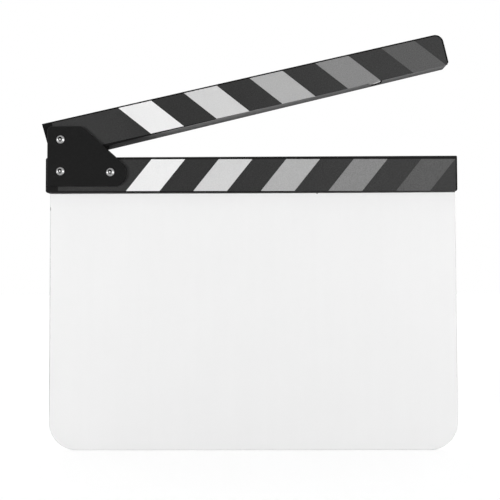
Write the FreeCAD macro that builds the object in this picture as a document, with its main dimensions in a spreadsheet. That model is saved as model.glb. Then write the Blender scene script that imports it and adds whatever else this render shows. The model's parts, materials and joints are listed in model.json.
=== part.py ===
"""Clapperboard: a writing board, a fixed lower stick and a hinged clap stick.

Millimetres. +X runs to the right, +Y away from the viewer and +Z up. The origin is the middle of the board's
bottom edge, on the board's mid-plane. The clap stick is stored open, as a hand holds it before the clap.
"""
import FreeCAD, Part
import math
import os
import re
import Sketcher

# Driving dimensions: alias, value, meaning. Every alias is two words or more, joined by underscores.
DIMENSIONS = [
    ("board_width", 297.8, "writing board, left to right"),
    ("board_height", 187.6, "board below the lower stick"),
    ("board_thickness", 3.0, "acrylic sheet"),
    ("board_corner_radius", 20.0, "two lower corners of the board"),
    ("board_edge_chamfer", 0.5, "broken edges of the sheet"),
    ("tongue_height", 20.0, "board inside the lower stick's groove"),
    ("groove_side_clearance", 0.1, "each side of the board in the groove"),
    ("groove_top_clearance", 0.5, "above the board in the groove"),
    ("cut_allowance", 1.0, "how far a cut runs past the face it opens"),
    ("stick_length", 299.6, "both sticks, end to end"),
    ("stick_overhang", 1.7, "sticks past the board's left edge"),
    ("stick_edge_radius", 0.35, "long edges of the sticks, sanded round"),
    ("lower_stick_height", 25.9, "fixed stick"),
    ("lower_stick_thickness", 15.0, "fixed stick, front to back"),
    ("lower_corner_radius", 1.7, "fixed stick's corners at the hinge and under the free end"),
    ("lower_tip_radius", 0.9, "fixed stick's upper free corner"),
    ("upper_heel_height", 27.05, "clap stick at the hinge end"),
    ("upper_tip_height", 23.15, "clap stick at the free end"),
    ("upper_stick_thickness", 14.6, "clap stick, front to back"),
    ("upper_tip_radius", 6.2, "clap stick's upper free corner"),
    ("upper_corner_radius", 2.0, "clap stick's lower free corner"),
    ("heel_slant", 1.3, "hinge end leans in from top to bottom"),
    ("heel_clearance", 0.7, "under the clap stick at the hinge when shut"),
    ("pivot_inset", 11.3, "pivot from the sticks' hinge end"),
    ("pivot_height", 12.75, "pivot above the lower stick"),
    ("open_angle", 13.3, "clap stick over the lower stick, degrees"),
    ("left_clamp_drop", 10.45, "left clamp screw below the lower stick's top"),
    ("right_clamp_drop", 11.25, "right clamp screw below the lower stick's top"),
    ("clamp_spacing", 36.4, "left clamp screw to right clamp screw"),
    ("plate_thickness", 2.0, "hinge plates"),
    ("plate_left_margin", 9.7, "plate left of the pivot"),
    ("plate_top_margin", 9.8, "plate above the pivot"),
    ("plate_right_margin", 11.7, "plate right of the right clamp screw"),
    ("plate_bottom_margin", 10.2, "plate below the right clamp screw"),
    ("plate_top_length", 25.1, "plate's top edge before the diagonal"),
    ("plate_shoulder_height", 14.1, "plate's right edge before the diagonal"),
    ("plate_lobe_radius", 9.7, "plate's rounded right end"),
    ("plate_corner_radius", 3.0, "plate's upper corners"),
    ("plate_foot_radius", 1.0, "plate's lower left corner"),
    ("plate_edge_chamfer", 0.35, "plate's outer rim"),
    ("screw_diameter", 3.0, "shank of the socket screws"),
    ("screw_head_diameter", 6.2, "button heads"),
    ("screw_head_height", 1.9, "button heads, seat to crown"),
    ("screw_rim_height", 0.4, "button heads, straight rim under the dome"),
    ("screw_length", 12.0, "shank under the head"),
    ("socket_width", 2.4, "hexagon across flats"),
    ("socket_depth", 1.2, "hexagon in the button heads"),
    ("sleeve_diameter", 4.6, "barrel of the sleeve nuts"),
    ("sleeve_end_gap", 0.4, "barrel short of the front plate's face"),
    ("sleeve_bore_clearance", 0.05, "screw in the barrel, each side"),
    ("sleeve_bore_spare", 2.0, "bore beyond the screw's end"),
    ("flange_diameter", 8.0, "rear flange of the sleeve nuts"),
    ("flange_height", 1.6, "rear flange of the sleeve nuts"),
    ("flange_chamfer", 0.6, "rear flange, outer edge"),
    ("flange_socket_depth", 1.0, "hexagon in the rear flange"),
    ("pivot_clearance", 0.05, "barrel in the clap stick and the plates, each side"),
    ("clamp_clearance", 0.1, "barrel in the lower stick, each side"),
    ("board_hole_clearance", 0.25, "barrel in the board, each side"),
    ("label_hole_clearance", 0.2, "barrel in the printed films, each side"),
    ("label_thickness", 0.12, "printed film"),
    ("lower_label_heel_gap", 9.1, "bare paint at the lower stick's hinge end"),
    ("upper_label_heel_gap", 7.4, "bare paint at the upper stick's hinge end"),
    ("label_tip_gap", 1.3, "bare paint at the free end"),
    ("lower_label_top_gap", 1.45, "paint above the lower label at the hinge end"),
    ("lower_label_bottom_gap", 1.25, "paint below the lower label at the hinge end"),
    ("lower_label_turn", 1.0, "lower label's free end sits this much lower"),
    ("upper_label_top_gap", 1.15, "paint above the upper label"),
    ("upper_label_bottom_gap", 2.15, "paint below the upper label at the hinge end"),
    ("upper_label_overhang", 0.5, "upper label past the stick's lower edge where it was trimmed"),
    ("upper_trim_length", 87.0, "trimmed stretch of the upper label, at the free end"),
    ("band_thickness", 0.06, "printed bands on the film"),
    ("band_lean", 38.6, "bands from upright, degrees"),
    ("lower_band_start", 68.05, "first lower band from the hinge end, at mid height"),
    ("upper_band_start", 66.75, "first upper band from the hinge end, at mid height"),
    ("lower_band_end_gap", 0.1, "last lower band short of the label's end"),
    ("upper_band_end_gap", 1.1, "last upper band short of the label's end"),
]
BAND_TONES = ["white", "pale_grey", "light_grey", "mid_grey", "dark_grey"]
LAST_EDGE = 2 * len(BAND_TONES) - 1

# Sizes worked out from the driving ones and shared by several pieces. Upper sizes are in the clap stick's own
# frame, with the pivot at its origin and its lower face along X.
DERIVED = [
    ("stick_left", "-board_width / 2 - stick_overhang"),
    ("stick_right", "stick_left + stick_length"),
    ("lower_stick_top", "board_height + lower_stick_height"),
    ("pivot_x", "stick_left + pivot_inset"),
    ("pivot_z", "lower_stick_top + pivot_height"),
    ("left_clamp_z", "lower_stick_top - left_clamp_drop"),
    ("right_clamp_x", "pivot_x + clamp_spacing"),
    ("right_clamp_z", "lower_stick_top - right_clamp_drop"),
    ("front_seat", "lower_stick_thickness / 2 + label_thickness"),
    ("rear_seat", "lower_stick_thickness / 2"),
    ("barrel_length", "front_seat + rear_seat + 2 * plate_thickness - sleeve_end_gap"),
    ("bore_depth", "screw_length - sleeve_end_gap + sleeve_bore_spare"),
    ("dome_height", "screw_head_height - screw_rim_height"),
    ("dome_radius", "screw_head_diameter ^ 2 / (8 * dome_height) + dome_height / 2"),
    ("socket_corner", "socket_width / sqrt(3)"),
    ("upper_bottom", "heel_clearance - pivot_height"),
    ("upper_heel_top", "upper_bottom + upper_heel_height"),
    ("upper_tip_top", "upper_bottom + upper_tip_height"),
    ("heel_radius", "pivot_inset - heel_slant"),
    ("lower_label_length", "stick_length - lower_label_heel_gap - label_tip_gap"),
    ("upper_label_length", "stick_length - upper_label_heel_gap - label_tip_gap"),
    ("band_slope", "tan(band_lean)"),
    ("lower_label_left", "stick_left + lower_label_heel_gap"),
    ("lower_label_high_heel", "lower_stick_top - lower_label_top_gap"),
    ("lower_label_high_tip", "lower_label_high_heel - lower_label_turn"),
    ("lower_label_low_heel", "board_height + lower_label_bottom_gap"),
    ("lower_label_low_tip", "lower_label_low_heel - lower_label_turn"),
    ("lower_band_first", "lower_band_start - lower_label_heel_gap"),
    ("upper_label_left", "upper_label_heel_gap - pivot_inset"),
    ("upper_slope", "(upper_tip_height - upper_heel_height) / stick_length"),
    ("upper_label_high_heel", "upper_heel_top - upper_label_top_gap + upper_slope * upper_label_heel_gap"),
    ("upper_label_high_tip", "upper_label_high_heel + upper_slope * upper_label_length"),
    ("upper_label_low_heel", "upper_bottom + upper_label_bottom_gap"),
    ("upper_label_low_tip", "upper_bottom - upper_label_overhang"),
    ("lower_label_high_slant", "lower_label_length"),
    ("lower_label_low_slant", "lower_label_length"),
    ("upper_label_high_slant", "upper_label_length"),
    ("upper_label_low_slant", "upper_label_length - upper_trim_length"),
    ("upper_band_first", "upper_band_start - upper_label_heel_gap"),
]
TOLERANCE = 1e-4

doc = FreeCAD.newDocument("clapperboard")
sheet = doc.addObject("Spreadsheet::Sheet", "dims")


def fill_sheet():
    """Driving numbers first, then the formulas that follow from them."""
    cells = [(alias, str(number), meaning) for alias, number, meaning in DIMENSIONS]
    cells += [(alias, "=" + formula, "worked out") for alias, formula in DERIVED]
    for row, (alias, content, meaning) in enumerate(cells, start=1):
        sheet.set(f"A{row}", alias)
        sheet.setAlias(f"B{row}", alias)
        sheet.set(f"B{row}", content)
        sheet.set(f"C{row}", meaning)
    doc.recompute()


def bound(formula):
    """A formula of aliases as an expression that any object of the document can hold."""
    return re.sub(r"[a-z]+(?:_[a-z]+)+", r"dims.\g<0>", formula)


def size(formula):
    """The number that a formula of aliases gives."""
    result = sheet.evalExpression(bound(formula))
    return float(getattr(result, "Value", result))


def new_body(label):
    """An empty body for one sub-part."""
    body = doc.addObject("PartDesign::Body", label)
    body.Label = label
    return body


def place(body, x, y, z, opened=False):
    """Put a body at three formulas, turned with the clap stick where it is part of it."""
    turn = FreeCAD.Rotation(FreeCAD.Vector(0, -1, 0), size("open_angle") if opened else 0)
    body.Placement = FreeCAD.Placement(FreeCAD.Vector(size(x), size(y), size(z)), turn)
    for axis, formula in zip("xyz", (x, y, z)):
        body.setExpression(f".Placement.Base.{axis}", bound(formula))
    if opened:
        body.setExpression(".Placement.Rotation.Angle", bound("open_angle * 1 deg"))


def new_sketch(body, name, role="XZ_Plane", level="0"):
    """An empty sketch on one of the body's own planes, lifted along the plane's normal."""
    planes = {feature.Role: feature for feature in body.Origin.OriginFeatures}
    sketch = body.newObject("Sketcher::SketchObject", name)
    sketch.AttachmentSupport = [(planes[role], "")]
    sketch.MapMode = "FlatFace"
    sketch.setExpression(".AttachmentOffset.Base.z", bound(level))
    return sketch


def pin_point(sketch, geometry, point, x, y):
    """Hold one point of a sketch at two formulas."""
    for kind, formula in (("DistanceX", x), ("DistanceY", y)):
        constraint = Sketcher.Constraint(kind, -1, 1, geometry, point, size(formula))
        index = sketch.addConstraint(constraint)
        sketch.setExpression(f"Constraints[{index}]", bound(formula))


def bulged(start, end, radius):
    """An arc that bulges to the right of the way from start to end."""
    chord = end - start
    half = chord.Length / 2
    outward = FreeCAD.Vector(chord.y, -chord.x, 0).normalize()
    middle = (start + end) / 2 + outward * (radius - math.sqrt(radius ** 2 - half ** 2))
    return Part.Arc(start, middle, end)


def hold_radius(sketch, geometry, radius):
    """Hold the radius of a circle or an arc at a formula."""
    index = sketch.addConstraint(Sketcher.Constraint("Radius", geometry, size(radius)))
    sketch.setExpression(f"Constraints[{index}]", bound(radius))


def outline(body, name, corners, role="XZ_Plane", level="0", first_side_radius=None):
    """A closed outline through the corners, anticlockwise. All sides are straight, or the first is an arc."""
    sketch = new_sketch(body, name, role, level)
    points = [FreeCAD.Vector(size(x), size(y), 0) for x, y in corners]
    count = len(points)
    sides = [Part.LineSegment(points[index], points[(index + 1) % count]) for index in range(count)]
    if first_side_radius:
        sides[0] = bulged(points[0], points[1], size(first_side_radius))
    for side in sides:
        sketch.addGeometry(side)
    for index in range(count):
        sketch.addConstraint(Sketcher.Constraint("Coincident", index, 2, (index + 1) % count, 1))
    for index, (x, y) in enumerate(corners):
        pin_point(sketch, index, 1, x, y)
    if first_side_radius:
        hold_radius(sketch, 0, first_side_radius)
    return sketch


def rectangle(left, bottom, right, top):
    """Corners of an upright rectangle."""
    return [(left, bottom), (right, bottom), (right, top), (left, top)]


def circles(body, name, centres, radius):
    """A sketch of equal circles, for holes."""
    sketch = new_sketch(body, name)
    for x, z in centres:
        centre = FreeCAD.Vector(size(x), size(z), 0)
        circle = sketch.addGeometry(Part.Circle(centre, FreeCAD.Vector(0, 0, 1), size(radius)))
        pin_point(sketch, circle, 3, x, z)
        hold_radius(sketch, circle, radius)
    return sketch


def add_feature(body, kind, profile, length, sides="One side", reverse=False):
    """Pad or Pocket a sketch. A cut that takes nothing away is an error."""
    before = body.Shape.Volume if body.Tip else 0
    feature = body.newObject(f"PartDesign::{kind}", f"{body.Label}_{kind}")
    feature.Profile = profile
    feature.SideType = sides
    feature.setExpression("Length", bound(length))
    feature.Reversed = reverse
    doc.recompute()
    if abs(feature.Shape.Volume - before) < TOLERANCE:
        raise RuntimeError(f"{feature.Label} changes nothing")
    return feature


def add_revolution(body, profile):
    """Turn a profile round the body's Y axis."""
    feature = body.newObject("PartDesign::Revolution", f"{body.Label}_Revolution")
    feature.Profile = profile
    feature.ReferenceAxis = (profile, ["V_Axis"])
    feature.Angle = 360
    doc.recompute()
    return feature


def soften(body, kind, edges, amount):
    """Fillet or chamfer the edges that a test picks."""
    base = body.Tip
    names = [f"Edge{i}" for i, edge in enumerate(base.Shape.Edges, start=1) if edges(edge)]
    if not names:
        raise RuntimeError(f"{body.Label} has no edge to soften")
    feature = body.newObject(f"PartDesign::{kind}", f"{body.Label}_{kind}")
    feature.Base = (base, names)
    feature.setExpression("Radius" if kind == "Fillet" else "Size", bound(amount))
    doc.recompute()
    return feature


def crosswise_at(x, z):
    """Test for the edge that runs front to back through a corner of the outline."""
    corner = (size(x), size(z))

    def test(edge):
        return all(math.dist((v.X, v.Z), corner) < TOLERANCE for v in edge.Vertexes)
    return test


def rim_at(*levels):
    """Test for the edges that lie at the given depths."""
    depths = [size(level) for level in levels]

    def test(edge):
        return any(all(abs(v.Y - depth) < TOLERANCE for v in edge.Vertexes) for depth in depths)
    return test


def hexagon():
    """Corners of the socket, one of them pointing up."""
    angles = [90 + 60 * step for step in range(6)]
    return [(f"socket_corner * cos({a})", f"socket_corner * sin({a})") for a in angles]


def writing_board():
    """Acrylic sheet with round lower corners, pierced where the clamp barrels pass."""
    body = new_body("writing_board")
    right = "board_width / 2"
    left = "-board_width / 2"
    corners = rectangle(left, "0", right, "board_height + tongue_height")
    add_feature(body, "Pad", outline(body, "sheet", corners), "board_thickness", "Symmetric")
    for x in (left, right):
        soften(body, "Fillet", crosswise_at(x, "0"), "board_corner_radius")
    soften(body, "Chamfer", rim_at("board_thickness / 2", "-board_thickness / 2"), "board_edge_chamfer")
    holes = circles(body, "barrel_holes", CLAMPS, "sleeve_diameter / 2 + board_hole_clearance")
    add_feature(body, "Pocket", holes, "2 * board_thickness", "Symmetric")


def lower_stick():
    """Fixed stick, grooved from below for the board."""
    body = new_body("lower_stick")
    corners = rectangle("stick_left", "board_height", "stick_right", "lower_stick_top")
    add_feature(body, "Pad", outline(body, "stick", corners), "lower_stick_thickness", "Symmetric")
    radii = ["lower_corner_radius", "lower_corner_radius", "lower_tip_radius", "lower_corner_radius"]
    for corner, radius in zip(corners, radii):
        soften(body, "Fillet", crosswise_at(*corner), radius)
    soften(body, "Fillet", rim_at("rear_seat", "-rear_seat"), "stick_edge_radius")
    slot = rectangle("stick_left - cut_allowance", "board_height - cut_allowance",
                     "stick_right + cut_allowance", "board_height + tongue_height + groove_top_clearance")
    width = "board_thickness + 2 * groove_side_clearance"
    add_feature(body, "Pocket", outline(body, "groove", slot), width, "Symmetric")
    holes = circles(body, "barrel_holes", CLAMPS, "sleeve_diameter / 2 + clamp_clearance")
    add_feature(body, "Pocket", holes, "2 * lower_stick_thickness", "Symmetric")


def upper_stick():
    """Clap stick, tapering to its tip, with a round heel that clears the lower stick as it opens."""
    body = new_body("upper_stick")
    tip = "stick_length - pivot_inset"
    heel = ("-heel_radius", "upper_bottom")
    corners = [heel, (tip, "upper_bottom"), (tip, "upper_tip_top"), ("-pivot_inset", "upper_heel_top")]
    add_feature(body, "Pad", outline(body, "stick", corners), "upper_stick_thickness", "Symmetric")
    soften(body, "Fillet", crosswise_at(*heel), "heel_radius")
    soften(body, "Fillet", crosswise_at(*corners[1]), "upper_corner_radius")
    soften(body, "Fillet", crosswise_at(*corners[2]), "upper_tip_radius")
    sides = rim_at("upper_stick_thickness / 2", "-upper_stick_thickness / 2")
    soften(body, "Fillet", sides, "stick_edge_radius")
    bore = circles(body, "pivot_bore", [("0", "0")], "sleeve_diameter / 2 + pivot_clearance")
    add_feature(body, "Pocket", bore, "2 * upper_stick_thickness", "Symmetric")
    place(body, "pivot_x", "0", "pivot_z", opened=True)


def hinge_plate(label, depth, outer_face):
    """Five-sided plate with a round lobe at the right clamp screw, drawn from the pivot."""
    body = new_body(label)
    left = "-plate_left_margin"
    right = "clamp_spacing + plate_right_margin"
    bottom = "-pivot_height - right_clamp_drop - plate_bottom_margin"
    shoulder = f"{bottom} + plate_shoulder_height"
    corners = [(left, bottom), (right, bottom), (right, shoulder),
               (f"{left} + plate_top_length", "plate_top_margin"), (left, "plate_top_margin")]
    radii = ["plate_foot_radius", "plate_lobe_radius", "plate_lobe_radius",
             "plate_corner_radius", "plate_corner_radius"]
    add_feature(body, "Pad", outline(body, "plate", corners), "plate_thickness")
    for corner, radius in zip(corners, radii):
        soften(body, "Fillet", crosswise_at(*corner), radius)
    soften(body, "Chamfer", rim_at(outer_face), "plate_edge_chamfer")
    holes = circles(body, "barrel_holes", PLATE_HOLES, "sleeve_diameter / 2 + pivot_clearance")
    add_feature(body, "Pocket", holes, "3 * plate_thickness", "Symmetric")
    place(body, "pivot_x", depth, "pivot_z")


def socket_screw(label, x, z):
    """Domed socket screw, its seat on the front plate."""
    body = new_body(label)
    head = "screw_head_diameter / 2"
    shank = "screw_diameter / 2"
    corners = [("0", "-screw_head_height"), (head, "-screw_rim_height"), (head, "0"), (shank, "0"),
               (shank, "screw_length"), ("0", "screw_length")]
    profile = outline(body, "profile", corners, "XY_Plane", first_side_radius="dome_radius")
    add_revolution(body, profile)
    add_feature(body, "Pocket", outline(body, "socket", hexagon(), level="screw_head_height"), "socket_depth")
    place(body, x, "-front_seat - plate_thickness", z)


def sleeve_nut(label, x, z):
    """Barrel nut with a low rear flange, bored from the front for its screw."""
    body = new_body(label)
    bore = "screw_diameter / 2 + sleeve_bore_clearance"
    barrel = "sleeve_diameter / 2"
    flange = "flange_diameter / 2"
    bore_end = "bore_depth - barrel_length"
    profile = [(bore, "-barrel_length"), (barrel, "-barrel_length"), (barrel, "0"), (flange, "0"),
               (flange, "flange_height"), ("0", "flange_height"), ("0", bore_end), (bore, bore_end)]
    add_revolution(body, outline(body, "profile", profile, "XY_Plane"))
    soften(body, "Chamfer", rim_at("flange_height"), "flange_chamfer")
    socket = outline(body, "socket", hexagon(), level="-flange_height")
    add_feature(body, "Pocket", socket, "flange_socket_depth", reverse=True)
    place(body, x, "rear_seat + plate_thickness", z)


def label_edge(stick, side, x):
    """Height of a label's upper or lower edge at a place along it, level past the edge's slant."""
    heel = f"{stick}_label_{side}_heel"
    tip = f"{stick}_label_{side}_tip"
    slant = f"{stick}_label_{side}_slant"
    return f"{heel} + ({tip} - {heel}) * min(({x} - {stick}_label_left) / {slant}; 1)"


def printed_label(stick, thickness, barrels, trimmed=False, tip_radius=None):
    """Film on a stick's front face, punched for the barrels, with its bands from white to dark grey."""
    left = f"{stick}_label_left"
    right = f"{left} + {stick}_label_length"
    low_tip = f"{stick}_label_low_tip"
    high_tip = (right, f"{stick}_label_high_tip")
    high_heel = (left, f"{stick}_label_high_heel")
    corners = [(left, f"{stick}_label_low_heel"), (right, low_tip), high_tip, high_heel]
    if trimmed:
        corners.insert(1, (f"{left} + {stick}_label_low_slant", low_tip))
    film = new_body(f"{stick}_label")
    add_feature(film, "Pad", outline(film, "film", corners), "label_thickness")
    if tip_radius:
        soften(film, "Fillet", crosswise_at(*high_tip), tip_radius)
    holes = circles(film, "barrel_holes", barrels, "sleeve_diameter / 2 + label_hole_clearance")
    add_feature(film, "Pocket", holes, "3 * label_thickness", "Symmetric")
    place_on_stick(film, stick, f"-{thickness} / 2")
    for index, tone in enumerate(BAND_TONES):
        band = new_body(f"{stick}_band_{tone}")
        corners = band_corners(stick, 2 * index)
        add_feature(band, "Pad", outline(band, "band", corners), "band_thickness")
        place_on_stick(band, stick, f"-{thickness} / 2 - label_thickness")


def band_corners(stick, edge):
    """Corners of the band between two leaning lines, cut to the label's edges."""
    lean = "band_slope" if stick == "lower" else "-band_slope"
    half_run = f"band_slope * ({stick}_label_high_tip - {stick}_label_low_tip) / 2"
    reach = f"{stick}_label_length - {stick}_band_end_gap - {half_run}"
    width = f"({reach} - {stick}_band_first) / {LAST_EDGE}"
    corners = []
    for step, side in ((edge, "low"), (edge + 1, "low"), (edge + 1, "high"), (edge, "high")):
        middle = f"{stick}_label_left + {stick}_band_first + {step} * ({width})"
        rise = f"({label_edge(stick, 'high', middle)} - ({label_edge(stick, 'low', middle)})) / 2"
        sign = "-" if side == "low" else "+"
        x = f"{middle} {sign} ({lean}) * ({rise})"
        corners.append((x, label_edge(stick, side, f"({x})")))
    return corners


def place_on_stick(body, stick, depth):
    """Label and bands share their stick's frame."""
    if stick == "upper":
        place(body, "pivot_x", depth, "pivot_z", opened=True)
    else:
        place(body, "0", depth, "0")


def check_and_write():
    """Stop on any failed object, then write one file for each sub-part."""
    doc.recompute()
    failed = [o.Label for o in doc.Objects if {"Invalid", "Error"} & set(o.State)]
    if failed:
        raise RuntimeError(f"failed objects: {failed}")
    bodies = [o for o in doc.Objects if o.TypeId == "PartDesign::Body"]
    for body in bodies:
        if body.Shape.isNull() or not body.Shape.isValid() or len(body.Shape.Solids) != 1:
            raise RuntimeError(f"{body.Label} is not one valid solid")
    os.makedirs("parts", exist_ok=True)
    for body in bodies:
        body.Shape.exportStep(f"parts/{body.Label}.step")
        print(f"{body.Label}: {body.Shape.Volume:.1f} mm3")


fill_sheet()
CLAMPS = [("pivot_x", "left_clamp_z"), ("right_clamp_x", "right_clamp_z")]
PLATE_HOLES = [("0", "0"), ("0", "-pivot_height - left_clamp_drop"),
               ("clamp_spacing", "-pivot_height - right_clamp_drop")]
FASTENED = {"pivot": ("pivot_x", "pivot_z"), "left_clamp": CLAMPS[0], "right_clamp": CLAMPS[1]}

writing_board()
lower_stick()
upper_stick()
hinge_plate("front_hinge_plate", "-front_seat", outer_face="-plate_thickness")
hinge_plate("rear_hinge_plate", "rear_seat + plate_thickness", outer_face="0")
for position, (screw_x, screw_z) in FASTENED.items():
    socket_screw(f"{position}_screw", screw_x, screw_z)
    sleeve_nut(f"{position}_sleeve_nut", screw_x, screw_z)
printed_label("lower", "lower_stick_thickness", CLAMPS)
upper_film_radius = "upper_tip_radius - label_tip_gap"
printed_label("upper", "upper_stick_thickness", [("0", "0")], trimmed=True, tip_radius=upper_film_radius)
check_and_write()
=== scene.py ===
"""Finishes, stage and camera for a blank clapperboard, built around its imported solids."""
import json
import math

import bmesh
import bpy
from bpy.props import FloatProperty, FloatVectorProperty, PointerProperty
from bpy.types import Operator, Panel, PropertyGroup
from mathutils import Color, Matrix, Vector


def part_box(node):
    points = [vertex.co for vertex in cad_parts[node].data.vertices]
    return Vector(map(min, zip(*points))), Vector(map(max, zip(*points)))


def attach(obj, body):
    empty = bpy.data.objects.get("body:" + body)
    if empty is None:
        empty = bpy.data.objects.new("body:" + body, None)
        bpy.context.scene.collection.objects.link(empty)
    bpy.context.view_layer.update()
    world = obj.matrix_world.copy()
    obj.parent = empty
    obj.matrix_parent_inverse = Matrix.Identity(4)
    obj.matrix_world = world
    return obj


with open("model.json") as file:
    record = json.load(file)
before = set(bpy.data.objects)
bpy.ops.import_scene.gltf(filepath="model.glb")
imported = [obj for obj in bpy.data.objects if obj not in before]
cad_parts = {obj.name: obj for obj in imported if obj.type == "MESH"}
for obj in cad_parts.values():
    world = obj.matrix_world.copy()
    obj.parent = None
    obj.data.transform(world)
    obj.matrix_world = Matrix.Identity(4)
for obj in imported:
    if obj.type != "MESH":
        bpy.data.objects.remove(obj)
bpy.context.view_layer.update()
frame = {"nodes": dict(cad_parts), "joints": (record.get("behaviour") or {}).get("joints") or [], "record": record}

bl_info = {
    "name": "Clapperboard Finishes",
    "version": (1, 0, 0),
    "blender": (4, 5, 0),
    "location": "3D View > Sidebar > Clapperboard",
    "description": "Dresses a clapperboard's solids in their finishes and sets its studio stage",
    "category": "Material",
}

MM = 0.001

CLAP_HINGE = frame["joints"][0]
PIVOT = Vector(CLAP_HINGE["pos_m"])
OPEN_ANGLE = -math.radians(CLAP_HINGE["range_deg"][0])
CLAP_ARM = CLAP_HINGE["child"]
OPENED = Matrix.Translation(PIVOT) @ Matrix.Rotation(-OPEN_ANGLE, 4, "Y") @ Matrix.Translation(-PIVOT)
BODY_OF = {node: body for body, nodes in frame["record"]["behaviour"]["bodies"].items() for node in nodes}
STICKS = ("lower", "upper")
TONES = ("white", "pale_grey", "light_grey", "mid_grey", "dark_grey")


def grey(level):
    """Scene colour of a neutral grey that shows as the given level of 255."""
    shown = level / 255
    return tuple(Color((shown, shown, shown)).from_srgb_to_scene_linear())


def colour(name, description, level):
    """A colour that a user picks, starting at a neutral grey."""
    return FloatVectorProperty(name=name, description=description, subtype="COLOR", size=3,
                               min=0, max=1, default=grey(level))


def share(name, description, value):
    """A number from 0 to 1 that a user picks."""
    return FloatProperty(name=name, description=description, subtype="FACTOR", min=0, max=1, default=value)


def number(name, description, value, highest):
    """A number that a user picks, which may go past 1."""
    return FloatProperty(name=name, description=description, min=0, soft_max=highest, default=value)


def length(name, description, millimetres):
    """A length that a user picks."""
    return FloatProperty(name=name, description=description, subtype="DISTANCE", unit="LENGTH",
                         min=0, precision=6, default=millimetres * MM)


def angle(name, description, degrees):
    """An angle that a user picks."""
    return FloatProperty(name=name, description=description, subtype="ANGLE", unit="ROTATION",
                         default=math.radians(degrees))


def power(name, description, watts):
    """A lamp's power that a user picks."""
    return FloatProperty(name=name, description=description, unit="POWER", min=0, default=watts)


def place(name, description, metres):
    """A point that a user picks."""
    return FloatVectorProperty(name=name, description=description, subtype="TRANSLATION", unit="LENGTH",
                               size=3, default=metres)


def width_height(name, description, metres):
    """A width and a height that a user picks."""
    return FloatVectorProperty(name=name, description=description, unit="LENGTH", size=2, min=0,
                               default=metres)


class SheetFinish(PropertyGroup):
    """Writing board."""
    opal: colour("Sheet Colour", "Opal white of the writing board", 240)
    shine: share("Shine", "How strongly the sheet reflects", 0.4)
    roughness: share("Roughness", "How matt the sheet is", 0.34)
    streak_width: length("Streak Width", "Width of a wipe streak", 6.0)
    wiped: share("Wipe Marks", "How far years of wiping show in the gloss", 0.12)
    wiped_tone: share("Wipe Tone", "How far they show in the colour", 0.02)
    grain_size: length("Grain Size", "Size of the sheet's fine unevenness", 1.2)
    grain_depth: length("Grain Depth", "Depth of that unevenness", 0.006)
    grain_tone: share("Grain Tone", "How far it shows in the colour", 0.004)
    # The cut edges get painted shade, darkest on the left edge: a darker line that stands in for the shade on the
    # chamfers.
    rim_width: length("Rim Width", "Depth of the dusty band along the cut edges", 0.8)
    rim_patch: length("Rim Patch", "Size of the patches with less dust", 30)
    rim_gaps: share("Rim Gaps", "How much less dust those patches hold", 0.15)
    rim_shade: colour("Rim Colour", "Dust held by the cut edges", 90)
    left_edge_shade: share("Left Dust", "How much dust the left edge holds", 1.0)
    right_edge_shade: share("Right Dust", "How much dust the right edge holds", 0.48)
    foot_edge_shade: share("Foot Dust", "How much dust the lower edge holds", 0.22)
    edge_shade_fade: share("Dust Fade", "How much less dust lies under the stick and round the corners", 0.65)
    fade_reach: length("Fade Reach", "From the stick or a corner to where the dust is whole", 55)
    # Colour of the painted shadow line under the lower stick, and of a dark dab there and a dark mark on the left
    # edge.
    darkening: colour("Dirt", "Dirt caught under the stick and in the two small marks", 30)
    seam_width: length("Seam Width", "Width of the dirt line under the stick where it is widest", 0.3)
    seam_ends: length("Seam Ends", "Width of that line towards its ends", 0.1)
    seam_place: length("Seam Place", "From the middle to where that line is widest", 30)
    edge_mark_height: length("Edge Mark Height", "Height of the dark mark on the left edge", 176.4)
    edge_mark_reach: length("Edge Mark Reach", "How far that mark comes in from the edge", 0.85)
    edge_mark_length: length("Edge Mark Length", "From the middle of that mark to its ends", 2.3)
    seam_mark_place: length("Seam Mark Place", "From the middle to the dab of dirt under the stick", 47.7)
    seam_mark_width: length("Seam Mark Width", "From the middle of that dab to its ends", 1.1)
    seam_mark_depth: length("Seam Mark Depth", "How far that dab reaches down", 1.3)


class PaintFinish(PropertyGroup):
    """Both sticks."""
    paint: colour("Paint", "Satin black on the sticks", 17)
    lower_shine: share("Lower Shine", "How strongly the fixed stick's paint reflects", 0.1)
    upper_shine: share("Upper Shine", "How strongly the clap stick's paint reflects", 0.05)
    roughness: share("Roughness", "How matt the paint is", 0.62)
    mark_scale: length("Mark Scale", "Scale of the marks that hands have left", 5.0)
    handled: share("Handling", "How far those marks show in the gloss", 0.25)
    pore_width: length("Pore Width", "Width of a wood pore under the paint", 0.5)
    pore_stretch: number("Pore Stretch", "Length of a pore over its width", 35, 100)
    pore_depth: length("Pore Depth", "Depth of the pores that the paint leaves open", 0.04)
    pore_tone: number("Pore Tone", "How far the pores show in the colour", 2.2, 4)
    worn: colour("Worn Paint", "Colour of rubbed rims", 74)
    rim_width: length("Rim Width", "Depth of the rubbed band behind each face", 0.55)
    rim_patch: length("Rim Patch", "Size of the patches that are whole", 9)
    rim_gaps: share("Rim Gaps", "How whole those patches are", 1.0)
    wear: share("Wear", "How much of the rims is rubbed", 0.25)
    rim_polish: share("Rim Polish", "How much glossier the rims are", 0.1)
    # Clap faces: grey from bruising, with a painted highlight on the rounded front edge and painted shade near the
    # hinge and towards the rear.
    clap_bruise_and_painted_light: colour("Clap Faces", "Paint bruised grey where the sticks meet", 128)
    hinge_shade_lift: length("Clap Start", "From the pivot to where the bruising begins", 50)
    hinge_shade_end: length("Clap Full", "From the pivot to where it is whole", 85)
    rear_shade_share: share("Clap Rear", "How much of it is left at the rear", 0.46)
    clap_dull: share("Clap Dullness", "How much more matt the bruised paint is", 0.3)


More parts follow.
